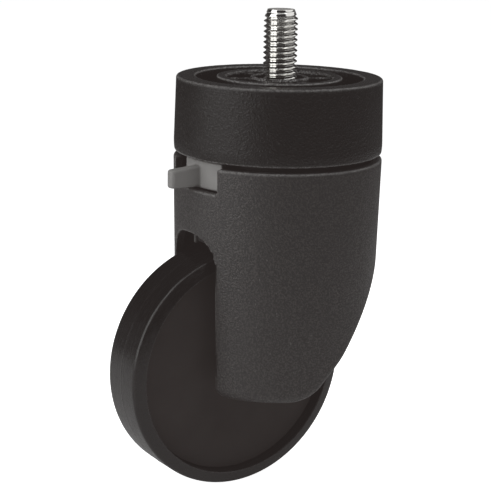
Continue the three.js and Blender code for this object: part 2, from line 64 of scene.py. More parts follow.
def box_mm(node):
    """The lowest and highest corner of a CAD node, in millimetres."""
    low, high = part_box(node)
    return np.array(low) / MM, np.array(high) / MM


# ------------------------------------------------------------------ sizes, in millimetres

COLLAR_LOW, COLLAR_HIGH = box_mm("mounting_collar")
COWL_LOW, COWL_HIGH = box_mm("housing_cowl")
TYRE_LOW, TYRE_HIGH = box_mm("tyre")
STEM_LOW, STEM_HIGH = box_mm("threaded_stem")
AXLE_LOW, AXLE_HIGH = box_mm("axle")
LEVER_TOP = box_mm("brake_lever")[1][2]
GAP = 0.3

# collar
COLLAR_RADIUS = COLLAR_HIGH[0]
COLLAR_BOTTOM = COLLAR_LOW[2]
COLLAR_TOP = COLLAR_HIGH[2]
COLLAR_DRAFT = 0.6
COLLAR_TOP_EDGE = 0.65
COLLAR_FOOT_EDGE = 0.6
COLLAR_FOOT_INSET = 0.3
COLLAR_FOOT_HEIGHT = 3.5
GROOVE = (18.0, 24.1)
GROOVE_DEPTH = 12.0
POCKET = (8.4, 15.2)
POCKET_DEPTH = 6.0
BOSS_RECESS = 7.2
BOSS_DEPTH = 3.0
RIB_COUNT = 6
RIB_FIRST = 36.0
RIB_HALF = 0.6
RIB_DROP = 0.4
SEAT_RADIUS = 19.7
SEAT_TOP = -15.0
SKIRT_POCKET = (21.5, 28.2)
SKIRT_TOP = -14.6

# stem and kingpin
THREAD_RADIUS = 4.925
THREAD_DEPTH = 0.87
THREAD_PITCH = 1.5
THREAD_END = -3.5
THREAD_RUNOUT = 1.0
THREAD_ROW = 0.06
FLANK_SLOPE = 1.732
CREST_HALF = 0.06
CREST_ROUND = 0.34
ROOT_ROUND = 0.12
STEM_TOP = STEM_HIGH[2]
TIP_RADIUS = 3.83
TIP_SLOPE = 0.4
KINGPIN_RADIUS = 5.0
KINGPIN_CHAMFER = 1.0
KINGPIN_END = STEM_LOW[2]
HEX_HALF = 8.5
HEX_RANGE = (-12.5, -8.0)
HEX_CHAMFER = 0.5
HEX_CORNER = 0.7
CLIP_GROOVE = (-43.2, -41.6)
CLIP_DEPTH = 1.0
SHOULDER_RISE = 0.02

# cowl
COWL_TOP = -22.9
COWL_BOTTOM = COWL_LOW[2]
COWL_RADIUS = COWL_HIGH[0]
COWL_TAPER = 0.01707
WALL = 2.6
SLANT = math.radians(37.5)
SLANT_POINT = (0.86, -82.1)
FOOT_ROUND = 5.0
RIM_ROUND = 3.0
RIM_BLEND = (4, 14)
ARRIS_ROUND = 0.6
SLOT_HALF = 10.8
ARCH_TOP = -42.6
ARCH_SPRING = -51.9
ARCH_POWER = 2.3
SLOT_FLARE = 4.0
WINDOW_HALF = 11.3
WINDOW_BOTTOM = -30.0
SWEEP_RADIUS = 37.6
FLANGE_RADIUS = 19.4
FLANGE_RANGE = (-24.2, COWL_HIGH[2])
BOSS_RADIUS = 12.2
BOSS_BOTTOM = -40.8
DECK_RANGE = (-34.2, -32.0)
WEB_HALF = 2.0
COWL_RIB_ANGLES = (-35, 0, 35)
COWL_RIB_HALF = 1.0
CHEEK_RIB_TOP = -45.0
BUSH_POCKET = 6.9
BUSH_SHOULDER = (-32.7, -30.3)
SHOULDER_BORE = 5.5

# wheel
WHEEL_X = (TYRE_LOW[0] + TYRE_HIGH[0]) / 2
WHEEL_Z = (TYRE_LOW[2] + TYRE_HIGH[2]) / 2
TREAD_RADIUS = (TYRE_HIGH[2] - TYRE_LOW[2]) / 2
TREAD_DROP = 0.4
TREAD_HALF = 7.28
TREAD_FLAT = 6.8
PARTING_LINE = 0.04
TYRE_HALF = TYRE_HIGH[1]
RECESS_RADIUS = 31.4
TYRE_INNER = 29.7
TYRE_SEAT = 3.5
DISC_FACE = 5.0
DISC_BACK = 3.7
AXLE_RADIUS = 4.0
AXLE_BOSS = 8.4
AXLE_NEAR_END = AXLE_LOW[1]
AXLE_FAR_END = AXLE_HIGH[1]
AXLE_CHAMFER = 0.5
PLUG_RADIUS = 4.6
DISC_BORE = 6.4
BUSH_RADII = (4.3, 6.0)
BUSH_HALF = 5.6
SPACER_RADII = (4.3, 6.2)
SPACER_START = 5.9

# brake
BRAKE_X = -19.5
RING_RANGE = (12.7, 16.4)
RING_SPREAD = 115.0
ARM_TOP = -25.0
ARM_BOTTOM = -28.0
PLATE_RANGE = (25.4, 27.8)
PLATE_ANGLES = (-22.4, 12.8)
PLATE_BOTTOM = -29.7
TAB_SIDES = (-2.8, 0.4)
TAB_ROOT_TOP = -23.4
TAB_END_TOP = -24.1
TAB_ROUND = 1.4
TAB_BOTTOM = -29.2
TAB_END = -37.1
TUBE_INNER = 4.2
TUBE_OUTER = 5.8
TUBE_LEDGE = -39.2
TUBE_BOTTOM = -40.5
ROD_HOLE = 2.4
RAMP_RANGE = (17.5, 21.5)
RAMP_ANGLES = (-14.5, 4.0)
RAMP_CLIMB = 2.0 / 10.5
RAMP_LEVEL = -28.6
WEB_ANGLES = (-20, 10)
CARRIER_INSET = 1.8
CARRIER_HEIGHT = 2.0
FINGER_Y = 1.5
FINGER_HALF = 0.45
FINGER_ROUND = 0.42
FINGER_DEPTH = 1.1
PAD_STANDOFF = 2.35
SPRING_WIRE = 0.4
SPRING_TURNS = 4.5

# swivel bearing
UPPER_RACE = (-17.5, -15.3)
LOWER_RACE = (-21.9, -19.7)
RACE_RADII = (12.6, 19.4)
TRACK_RADIUS = 2.3
BALL_RADIUS = 2
BALL_CIRCLE = 16
BALL_HEIGHT = -18.6

# edges: rubbing and a painted highlight start to show at the first bend and are full at the second, as
# one over the radius
WORN_BEND = (0.5, 2.4)
SHARP_ANGLE = math.radians(40)
EASED_EDGE = 0.12


# ------------------------------------------------------------------ fields

def both(a, b, edge=0.0):
    """Inside both a and b, with the edge between them rounded."""
    if np.all(np.asarray(edge) <= 0):
        return np.maximum(a, b)
    corner = np.hypot(np.maximum(a + edge, 0), np.maximum(b + edge, 0))
    return np.minimum(np.maximum(a, b), -edge) + corner


def either(a, b, fillet=0.0):
    """Inside a or b, with a fillet where they meet."""
    return -both(-a, -b, fillet)


def without(a, b, edge=0.0):
    return both(a, -b, edge)


def soft_max(a, b, blend):
    """The greater of a and b, with the change from one to the other rounded."""
    return (a + b + np.sqrt((a - b) ** 2 + blend**2)) / 2


def between(value, low, high):
    return np.maximum(low - value, value - high)


def smooth_step(value, low, high):
    t = np.clip((value - low) / (high - low), 0, 1)
    return t * t * (3 - 2 * t)


def surface_net(field, low, high, step):
    """Points and quads of the surface where a field changes sign, on a grid of the given step."""
    axes = [np.arange(a - step, b + 2 * step, step, dtype=np.float32) for a, b in zip(low, high)]
    x, y, z = np.meshgrid(*axes, indexing="ij")
    value = field(x, y, z).astype(np.float32)
    inside = value < 0
    cells = tuple(n - 1 for n in value.shape)

    def corner(grid, i, j, k):
        return grid[i : i + cells[0], j : j + cells[1], k : k + cells[2]]

    offsets = [(i, j, k) for i in (0, 1) for j in (0, 1) for k in (0, 1)]
    filled = sum(corner(inside, *o).astype(np.int8) for o in offsets)
    mixed = (filled > 0) & (filled < 8)
    cell = np.argwhere(mixed)
    number = np.full(cells, -1, np.int64)
    number[mixed] = np.arange(len(cell))

    total = np.zeros((len(cell), 3))
    crossings = np.zeros(len(cell))
    for first in offsets:
        for axis in range(3):
            if first[axis]:
                continue
            second = list(first)
            second[axis] = 1
            a = value[tuple((cell + first).T)]
            b = value[tuple((cell + second).T)]
            crossed = (a < 0) != (b < 0)
            share = np.where(crossed, a / np.where(crossed, a - b, 1), 0)
            point = cell + np.array(first, float)
            point[:, axis] += share
            total += np.where(crossed[:, None], point, 0)
            crossings += crossed
    start = np.array([a[0] for a in axes], float)
    points = start + step * total / crossings[:, None]

    quads = []
    for axis in range(3):
        u, v = (axis + 1) % 3, (axis + 2) % 3
        lower = [slice(None)] * 3
        upper = [slice(None)] * 3
        lower[axis] = slice(0, -1)
        upper[axis] = slice(1, None)
        a, b = inside[tuple(lower)], inside[tuple(upper)]
        for flipped in (False, True):
            edges = np.argwhere((a & ~b) if not flipped else (~a & b))
            edges = edges[(edges[:, u] > 0) & (edges[:, v] > 0)]
            edges = edges[(edges[:, u] < cells[u]) & (edges[:, v] < cells[v])]
            around = []
            for du, dv in ((-1, -1), (0, -1), (0, 0), (-1, 0)):
                shifted = edges.copy()
                shifted[:, u] += du
                shifted[:, v] += dv
                around.append(number[tuple(shifted.T)])
            quad = np.stack(around, 1)
            quads.append(quad[:, ::-1] if flipped else quad)
    return points, np.concatenate(quads)


def settle(field, points, step):
    """Moves the points onto the surface, along the field's slope."""
    h = 0.05 * step
    for _ in range(4):
        here = field(*points.T)
        slope = np.empty_like(points)
        for axis in range(3):
            ahead, behind = points.copy(), points.copy()
            ahead[:, axis] += h
            behind[:, axis] -= h
            slope[:, axis] = (field(*ahead.T) - field(*behind.T)) / (2 * h)
        length = np.maximum((slope**2).sum(1), 0.25)
        move = -(here / length)[:, None] * slope
        size = np.maximum(np.linalg.norm(move, axis=1, keepdims=True), 1e-9)
        points = points + move * np.minimum(1, 0.5 * step / size)
    return points


# ------------------------------------------------------------------ making objects

def make_object(name, points, faces, sharp=SHARP_ANGLE, bend=None):
    """A smooth-shaded mesh object from points in millimetres.

    Where bend is high, the finish shows a worn edge with a painted highlight.
    """
    mesh = bpy.data.meshes.new(name)
    mesh.from_pydata((np.asarray(points) * MM).tolist(), [], [tuple(f) for f in faces])
    mesh.validate()
    mesh.polygons.foreach_set("use_smooth", [True] * len(mesh.polygons))
    if sharp:
        mesh.set_sharp_from_angle(angle=sharp)
    if bend is not None:
        edge = mesh.attributes.new("edge", "FLOAT", "POINT")
        edge.data.foreach_set("value", smooth_step(bend, *WORN_BEND).astype(np.float32))
    piece = bpy.data.objects.new(name, mesh)
    bpy.context.scene.collection.objects.link(piece)
    return piece


def field_bend(field, points, reach=0.2):
    """How sharply the surface bends outwards at each point, as one over the radius."""
    total = -6 * field(*points.T)
    for axis in range(3):
        for side in (-reach, reach):
            beside = points.copy()
            beside[:, axis] += side
            total = total + field(*beside.T)
    return total / reach**2


def moulded(name, field, low, high, step):
    """The object whose inside is where the field is negative, from a grid of the given step."""
    points, quads = surface_net(field, low, high, step)
    points = settle(field, points, step)
    return make_object(name, points, quads, sharp=None, bend=field_bend(field, points))


def grid_faces(rows, columns):
    """Quads of a grid whose columns run round and close."""
    faces = []
    for i in range(rows - 1):
        here, above = i * columns, (i + 1) * columns
        for j in range(columns):
            k = (j + 1) % columns
            faces.append((here + j, here + k, above + k, above + j))
    return faces


def capped_faces(rows, columns):
    """The same quads, and one face over each end."""
    faces = grid_faces(rows, columns)
    faces.append(tuple(range(columns))[::-1])
    faces.append(tuple((rows - 1) * columns + j for j in range(columns)))
    return faces


def rounded(profile, default=0.3, steps=4):
    """A profile of (radius, height) or (radius, height, edge) corners with each corner rounded."""
    points = []
    count = len(profile)
    for i, corner in enumerate(profile):
        here = np.array(corner[:2], float)
        edge = corner[2] if len(corner) > 2 else default
        before = np.array(profile[i - 1][:2], float) - here
        after = np.array(profile[(i + 1) % count][:2], float) - here
        reach = min(edge, 0.45 * np.linalg.norm(before), 0.45 * np.linalg.norm(after))
        if reach <= 0:
            points.append(here)
            continue
        start = here + before / np.linalg.norm(before) * reach
        end = here + after / np.linalg.norm(after) * reach
        for t in np.linspace(0, 1, steps + 1):
            points.append((1 - t) ** 2 * start + 2 * t * (1 - t) * here + t**2 * end)
    return np.array(points)


def profile_bend(profile):
    """How sharply an anticlockwise profile bends outwards at each of its points."""
    before = profile - np.roll(profile, 1, axis=0)
    after = np.roll(profile, -1, axis=0) - profile
    cross = before[:, 0] * after[:, 1] - before[:, 1] * after[:, 0]
    turn = np.arctan2(cross, (before * after).sum(1))
    length = (np.linalg.norm(before, axis=1) + np.linalg.norm(after, axis=1)) / 2
    return turn / np.maximum(length, 1e-6)


def turned(name, profile, steps=96, centre=(0, 0, 0), along_y=False):
    """A ring: a closed, anticlockwise profile of (radius, height) points, turned about its axis."""
    angle = np.linspace(0, 2 * math.pi, steps, endpoint=False)
    profile = np.asarray(profile, float)
    radius, height = profile.T
    across = np.outer(radius, np.cos(angle))
    up = np.outer(radius, np.sin(angle))
    along = np.repeat(height[:, None], steps, 1)
    axes = (up, along, across) if along_y else (across, up, along)
    points = np.stack([a.ravel() for a in axes], 1) + np.array(centre)
    rows = len(profile)
    faces = grid_faces(rows, steps)
    last = rows - 1
    faces += [
        (last * steps + j, last * steps + (j + 1) % steps, (j + 1) % steps, j) for j in range(steps)
    ]
    return make_object(name, points, faces, bend=np.repeat(profile_bend(profile), steps))


def barrel(name, radius, height, steps, centre=(0, 0, 0), along_y=False, bend=None):
    """A closed bar whose radius follows height, with flat ends. The radius may also change round it."""
    angle = np.linspace(0, 2 * math.pi, steps, endpoint=False)
    rows = len(height)
    radii = np.broadcast_to(np.asarray(radius, float).reshape(rows, -1), (rows, steps))
    across = radii * np.cos(angle)
    up = radii * np.sin(angle)
    along = np.repeat(np.asarray(height, float)[:, None], steps, 1)
    axes = (up, along, across) if along_y else (across, up, along)
    points = np.stack([a.ravel() for a in axes], 1) + np.array(centre)
    return make_object(name, points, capped_faces(rows, steps), bend=bend)


# ------------------------------------------------------------------ materials

DUST = (0.12, 0.118, 0.112)
GRAIN_MM = 0.48
CUT_END_DULLNESS = 0.45


class Nodes:
    """A new material's node tree, with short ways to add what the materials share."""

    def __init__(self, name):
        self.material = bpy.data.materials.new(name)
        self.material.use_nodes = True
        self.tree = self.material.node_tree
        self.shader = self.tree.nodes["Principled BSDF"]
        self.place = self.add("ShaderNodeTexCoord").outputs["Object"]

    def add(self, kind, **settings):
        node = self.tree.nodes.new(kind)
        for key, value in settings.items():
            setattr(node, key, value)
        return node

    def link(self, source, target):
        self.tree.links.new(source, target)

    def noise(self, size_mm, detail=2.0, roughness=0.5, place=None):
        """A noise whose grains are about size_mm across."""
        node = self.add("ShaderNodeTexNoise")
        node.inputs["Scale"].default_value = 1 / (size_mm * MM)
        node.inputs["Detail"].default_value = detail
        node.inputs["Roughness"].default_value = roughness
        self.link(place or self.place, node.inputs["Vector"])
        return node.outputs["Fac"]

    def stretched(self, x, y, z):
        node = self.add("ShaderNodeMapping")
        node.inputs["Scale"].default_value = (x, y, z)
        self.link(self.place, node.inputs["Vector"])
        return node.outputs["Vector"]

    def spread(self, value, low, high, from_low=0.3, from_high=0.7):
        node = self.add("ShaderNodeMapRange")
        node.inputs["From Min"].default_value = from_low
        node.inputs["From Max"].default_value = from_high
        node.inputs["To Min"].default_value = low
        node.inputs["To Max"].default_value = high
        self.link(value, node.inputs["Value"])
        return node.outputs["Result"]

    def mix(self, factor, a, b):
        node = self.add("ShaderNodeMix", data_type="RGBA")
        self.link(factor, node.inputs[0])
        for index, colour in ((6, a), (7, b)):
            if isinstance(colour, tuple):
                node.inputs[index].default_value = (*colour, 1)
            else:
                self.link(colour, node.inputs[index])
        return node.outputs[2]

    def worn_and_highlit_edge(self, patch_mm):
        """Where the shape's edges are lighter, in patches: rubbed bright, and a painted highlight."""
        edge = self.add("ShaderNodeAttribute", attribute_name="edge").outputs["Fac"]
        patches = self.spread(self.noise(patch_mm, detail=4, roughness=0.7), 0.2, 1, 0.4, 0.6)
        product = self.add("ShaderNodeMath", operation="MULTIPLY")
        self.link(edge, product.inputs[0])
        self.link(patches, product.inputs[1])
        return product.outputs["Value"]

    def bump(self, height, strength, distance_mm, below=None):
        node = self.add("ShaderNodeBump")
        node.inputs["Strength"].default_value = strength
        node.inputs["Distance"].default_value = distance_mm * MM
        self.link(height, node.inputs["Height"])
        if below:
            self.link(below, node.inputs["Normal"])
        return node.outputs["Normal"]

    def finish(self, colour, roughness, normal=None, **constants):
        self.link(colour, self.shader.inputs["Base Color"])
        self.link(roughness, self.shader.inputs["Roughness"])
        if normal:
            self.link(normal, self.shader.inputs["Normal"])
        for key, value in constants.items():
            self.shader.inputs[key.replace("_", " ")].default_value = value
        return self.material


def textured_plastic(
    name, colour, roughness, grain_mm, grain, grain_tone=3.0, specks=0.0, worn=0.0, specular=0.5
):
    """Moulded plastic with a fine spark-eroded grain, a faint uneven tone, dust, and rubbed edges with
    a painted highlight.
    """
    n = Nodes(name)
    light = tuple(c * grain_tone for c in colour)
    dark = tuple(c * 0.1 for c in colour)
    fine = n.noise(grain_mm, detail=1)
    cloud = n.noise(14, detail=3)
    tone = n.mix(n.spread(fine, 0, 1, 0.46, 0.64), dark, light)
    tone = n.mix(n.spread(cloud, 0, 0.25), tone, colour)
    if specks:
        dust = n.spread(n.noise(0.9, detail=1), 0, specks, 0.74, 0.8)
        tone = n.mix(dust, tone, DUST)
    # painted highlight with rubbed wear: the edges lighter in patches
    if worn:
        tone = n.mix(n.worn_and_highlit_edge(0.6), tone, (worn, worn * 0.98, worn * 0.96))
    rough = n.spread(fine, roughness + 0.1, roughness - 0.1, 0.35, 0.65)
    coarse = n.bump(n.noise(grain_mm * 2.5, detail=2), grain * 0.5, 0.1)
    normal = n.bump(fine, grain, 0.2, coarse)
    return n.finish(tone, rough, normal, Specular_IOR_Level=specular)


def smooth_plastic(name, colour, roughness, specular=0.5):
    """Plain moulded plastic: nearly even, with faint flow marks."""
    n = Nodes(name)
    cloud = n.noise(9, detail=4)
    dark = tuple(c * 0.9 for c in colour)
    light = tuple(c * 1.1 for c in colour)
    tone = n.mix(n.spread(cloud, 0, 1), dark, light)
    rough = n.spread(n.noise(3.5, detail=4), roughness - 0.04, roughness + 0.05)
    normal = n.bump(n.noise(0.5, detail=2), 0.05, 0.05)
    return n.finish(tone, rough, normal, Specular_IOR_Level=specular)


def tyre_rubber(name, colour, roughness):
    """Hard satin rubber with short scuffs that run round the tread."""
    n = Nodes(name)
    cloud = n.noise(6, detail=4)
    dark = tuple(c * 0.85 for c in colour)
    light = tuple(c * 1.2 for c in colour)
    tone = n.mix(n.spread(cloud, 0, 1), dark, light)
    scuff = n.noise(1.4, detail=6, roughness=0.7, place=n.stretched(0.35, 2.6, 0.35))
    worn = n.spread(scuff, 0, 0.7, 0.66, 0.75)
    tone = n.mix(worn, tone, tuple(c * 12 for c in colour))
    # painted highlight with rubbed wear: the tyre's edges lighter in patches
    tone = n.mix(n.worn_and_highlit_edge(2.0), tone, tuple(c * 14 for c in colour))
    rough = n.spread(scuff, roughness - 0.08, roughness + 0.12, 0.35, 0.75)
    normal = n.bump(n.noise(0.6, detail=3), 0.3, 0.1, n.bump(scuff, 0.25, 0.2))
    return n.finish(tone, rough, normal, Specular_IOR_Level=0.4)


def plated_steel(name, colour, roughness, rub):
    """Bright plated steel with fine turning marks, faint clouding and duller cut ends."""
    n = Nodes(name)
    cloud = n.noise(4, detail=4)
    tone = n.mix(n.spread(cloud, 0, 1), tuple(c * 0.82 for c in colour), colour)
    marks = n.noise(0.5, detail=3, place=n.stretched(0.25, 0.25, 3))
    cut = n.add("ShaderNodeAttribute", attribute_name="edge").outputs["Fac"]
    total = n.add("ShaderNodeMath", operation="ADD")
    n.link(n.spread(marks, roughness, roughness + rub), total.inputs[0])
    n.link(n.spread(cut, 0, CUT_END_DULLNESS, 0, 1), total.inputs[1])
    normal = n.bump(marks, 0.06, 0.05)
    return n.finish(tone, total.outputs["Value"], normal, Metallic=1.0)


COLLAR_PLASTIC = textured_plastic(
    "collar_plastic",
    (0.0009, 0.0008, 0.0007),
    roughness=0.32,
    grain_mm=GRAIN_MM,
    grain=0.9,
    grain_tone=8.0,
    specks=0.4,
    worn=0.28,
    specular=0.29,
)
COWL_PLASTIC = textured_plastic(
    "cowl_plastic",
    (0.0038, 0.0033, 0.003),
    roughness=0.5,
    grain_mm=GRAIN_MM,
    grain=0.9,
    grain_tone=8.0,
    specks=0.6,
    worn=0.17,
    specular=0.67,
)
LEVER_PLASTIC = smooth_plastic("lever_plastic", (0.245, 0.242, 0.235), 0.55, 0.5)
CORE_PLASTIC = smooth_plastic("core_plastic", (0.022, 0.021, 0.0205), 0.55, 0.3)
# painted shade: the shoe's dark grey stands for the shadow inside the arch
SHADED_SHOE_PLASTIC = smooth_plastic("shoe_plastic", (0.07, 0.069, 0.067), 0.65, 0.3)
DISC_PLASTIC = smooth_plastic("disc_plastic", (0.041, 0.036, 0.0345), 0.7, 0.06)
BUSH_PLASTIC = smooth_plastic("bush_plastic", (0.62, 0.59, 0.52), 0.35)
TYRE_RUBBER = tyre_rubber("tyre_rubber", (0.002, 0.0018, 0.0018), 0.26)
PAD_RUBBER = textured_plastic(
    "pad_rubber", (0.014, 0.013, 0.013), roughness=0.75, grain_mm=0.8, grain=0.4
)
ZINC_STEEL = plated_steel("zinc_steel", (0.84, 0.83, 0.80), 0.05, 0.06)
BEARING_STEEL = plated_steel("bearing_steel", (0.60, 0.60, 0.61), 0.12, 0.06)

SLOT_MATERIALS = {
    "collar_plastic": COLLAR_PLASTIC,
    "cowl_plastic": COWL_PLASTIC,
    "lever_plastic": LEVER_PLASTIC,
    "core_plastic": CORE_PLASTIC,
    "disc_plastic": DISC_PLASTIC,
    "bush_plastic": BUSH_PLASTIC,
    "tyre_rubber": TYRE_RUBBER,
    "pad_rubber": PAD_RUBBER,
    "zinc_steel": ZINC_STEEL,
    "bearing_steel": BEARING_STEEL,
}
# a piece whose finish is darker than its slot's: painted shade, standing for the shadow inside the arch
# where it sits
SHADE_PAINTED_PIECES = {"brake_shoe": SHADED_SHOE_PLASTIC}
SLOT_OF_NODE = {s["node"]: s["material_slot"] for s in frame["record"]["subparts"]}
BODY_OF_NODE = {
    node: body for body, nodes in frame["record"]["behaviour"]["bodies"].items() for node in nodes
}


def stand_for(piece, node):
    """The piece takes a CAD node's place, body and finish, or the darker finish of a piece with painted
    shade.
    """
    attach(piece, BODY_OF_NODE[node])
    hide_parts(node)
    piece.data.materials.append(SHADE_PAINTED_PIECES.get(node, SLOT_MATERIALS[SLOT_OF_NODE[node]]))
    return piece


# ------------------------------------------------------------------ collar

def collar_field(x, y, z):
    """The collar: rim, ring groove, ribbed pocket, boss, and the seats of the kingpin and bearing."""
    radius = np.hypot(x, y)
    wall = COLLAR_RADIUS - COLLAR_DRAFT * (z - COLLAR_BOTTOM) / (COLLAR_TOP - COLLAR_BOTTOM)
    wall = wall - COLLAR_FOOT_INSET * np.clip(1 - (z - COLLAR_BOTTOM) / COLLAR_FOOT_HEIGHT, 0, 1) ** 2
    body = both(radius - wall, z - COLLAR_TOP, COLLAR_TOP_EDGE)
    body = both(body, COLLAR_BOTTOM - z, COLLAR_FOOT_EDGE)

    groove = both(between(radius, *GROOVE), COLLAR_TOP - GROOVE_DEPTH - z, 0.8)
    body = without(body, groove, 0.35)

    turn = np.degrees(np.arctan2(y, x)) - RIB_FIRST
    spacing = 360 / RIB_COUNT
    off_rib = np.radians((turn + spacing / 2) % spacing - spacing / 2)
    from_rib = RIB_HALF - np.abs(radius * np.sin(off_rib))
    pocket = both(between(radius, *POCKET), from_rib, 0.7)
    pocket = both(pocket, COLLAR_TOP - POCKET_DEPTH - z, 0.5)
    body = without(body, pocket, 0.3)
    sunk = both(between(radius, POCKET[0] - 0.2, POCKET[1] + 0.2), COLLAR_TOP - RIB_DROP - z)
    body = without(body, sunk, 0.15)

    body = without(body, both(radius - BOSS_RECESS, COLLAR_TOP - BOSS_DEPTH - z, 0.4), 0.3)
    body = without(body, radius - KINGPIN_RADIUS - GAP)
    sides = [np.radians(a) for a in (0, 60, 120)]
    flats = [np.abs(x * np.cos(a) + y * np.sin(a)) - HEX_HALF - GAP for a in sides]
    hexagon = np.maximum(np.maximum(flats[0], flats[1]), flats[2])
    body = without(body, both(hexagon, between(z, HEX_RANGE[0] - GAP, HEX_RANGE[1] + GAP)))
    body = without(body, both(radius - SEAT_RADIUS, z - SEAT_TOP, 0.3), 0.3)
    return without(body, both(between(radius, *SKIRT_POCKET), z - SKIRT_TOP, 0.8), 0.3)


# ------------------------------------------------------------------ stem

def thread_radius(angle, height):
    """The right-hand thread's radius at an angle and a height, with rounded crests and roots."""
    turn = (height / THREAD_PITCH - angle / (2 * math.pi)) % 1
    from_crest = THREAD_PITCH * np.minimum(turn, 1 - turn)
    drop = soft_max(FLANK_SLOPE * (from_crest - CREST_HALF), 0 * from_crest, CREST_ROUND)
    drop = -soft_max(CREST_ROUND / 3 - drop, -THREAD_DEPTH, ROOT_ROUND)
    return THREAD_RADIUS - drop


def make_stem():
    """The kingpin with its clip groove and hexagon, the thread above it, and the dull cut end."""
    steps = 96
    angle = np.linspace(0, 2 * math.pi, steps, endpoint=False)
    heights = []
    radii = []

    def row(height, radius):
        heights.append(height)
        radii.append(np.broadcast_to(radius, steps))

    row(KINGPIN_END, KINGPIN_RADIUS - KINGPIN_CHAMFER)
    row(KINGPIN_END + KINGPIN_CHAMFER, KINGPIN_RADIUS)
    row(CLIP_GROOVE[0], KINGPIN_RADIUS)
    row(CLIP_GROOVE[0] + SHOULDER_RISE, KINGPIN_RADIUS - CLIP_DEPTH)
    row(CLIP_GROOVE[1] - SHOULDER_RISE, KINGPIN_RADIUS - CLIP_DEPTH)
    row(CLIP_GROOVE[1], KINGPIN_RADIUS)
    sixth = math.pi / 3
    hexagon = HEX_HALF / np.cos((angle + sixth / 2) % sixth - sixth / 2)
    row(HEX_RANGE[0], KINGPIN_RADIUS)
    row(HEX_RANGE[0] + SHOULDER_RISE, np.minimum(hexagon, HEX_HALF + HEX_CORNER))
    row(HEX_RANGE[0] + HEX_CHAMFER, hexagon)
    row(HEX_RANGE[1] - HEX_CHAMFER, hexagon)
    row(HEX_RANGE[1] - SHOULDER_RISE, np.minimum(hexagon, HEX_HALF + HEX_CORNER))
    row(HEX_RANGE[1], KINGPIN_RADIUS)
    row(THREAD_END - THREAD_RUNOUT, KINGPIN_RADIUS)
    for height in np.arange(THREAD_END, STEM_TOP - 0.05, THREAD_ROW):
        chamfer = TIP_RADIUS + (STEM_TOP - height) * TIP_SLOPE
        row(height, -soft_max(-thread_radius(angle, height), -chamfer, 0.05))
    row(STEM_TOP - 0.03, TIP_RADIUS - 0.02)
    row(STEM_TOP, TIP_RADIUS - 0.1)
    cut_end = np.repeat(np.array(heights) > STEM_TOP - 0.04, steps) * WORN_BEND[1]
    return barrel("threaded_stem_bright", np.array(radii), heights, steps, bend=cut_end)


# ------------------------------------------------------------------ cowl

def cowl_body(x, y, z):
    """The tapered round body with its slanted back, without its top plane."""
    radius = np.hypot(x, y)
    cone = (radius - COWL_RADIUS - COWL_TAPER * (z - COWL_TOP)) * math.cos(COWL_TAPER)
    slant = (x - SLANT_POINT[0]) * math.cos(SLANT) - (z - SLANT_POINT[1]) * math.sin(SLANT)
    under = both(slant, COWL_BOTTOM - z, FOOT_ROUND)
    up = smooth_step(z, COWL_BOTTOM + RIM_BLEND[0], COWL_BOTTOM + RIM_BLEND[1])
    return both(cone, under, RIM_ROUND + (ARRIS_ROUND - RIM_ROUND) * up)


def slot_foot(y, z):
    """The slot between the cheeks, which flares out at the foot."""
    return -both(SLOT_HALF - np.abs(y), COWL_BOTTOM - z, SLOT_FLARE)


def arch_field(y, z):
    """The rounded arch over the slot in the front wall."""
    rise = ARCH_TOP - ARCH_SPRING
    up = np.maximum(z - ARCH_SPRING, 0)
    reach = (np.abs(y / SLOT_HALF) ** ARCH_POWER + (up / rise) ** ARCH_POWER) ** (1 / ARCH_POWER)
    reach = np.maximum(reach, 1e-3)
    distance = np.hypot(y, up) * (1 - 1 / reach)
    return np.where(z > ARCH_SPRING, distance, slot_foot(y, z))


def wheel_space(x, y, z, inner):
    """The room for the wheel: the arched front, the space inside, and the open back and bottom."""
    slab = np.abs(y) - SLOT_HALF
    sweep = np.hypot(x - WHEEL_X, z - WHEEL_Z) - SWEEP_RADIUS
    under_deck = z - DECK_RANGE[0]
    front = both(arch_field(y, z), x - BRAKE_X)
    inside = both(both(inner, slab), under_deck)
    behind = both(both(slot_foot(y, z), sweep), np.maximum(BRAKE_X - x, under_deck))
    return either(either(front, inside), behind)


def cowl_ribs(x, y, z, inner):
    """The stiffening ribs behind the kingpin's boss, and one down the inside of each cheek."""
    ribs = []
    for angle in COWL_RIB_ANGLES:
        a = math.radians(angle)
        across = np.abs(-x * math.sin(a) + y * math.cos(a)) - COWL_RIB_HALF
        along = BOSS_RADIUS - 0.5 - (x * math.cos(a) + y * math.sin(a))
        ribs.append(both(both(across, along), between(z, DECK_RANGE[0], FLANGE_RANGE[0] + 0.5)))
    cheek = np.maximum(SLOT_HALF - np.abs(y), between(z, WHEEL_Z, CHEEK_RIB_TOP))
    ribs.append(both(np.abs(x - WHEEL_X) - COWL_RIB_HALF, cheek))
    joined = ribs[0]
    for rib in ribs[1:]:
        joined = either(joined, rib)
    return both(joined, inner - 0.4)


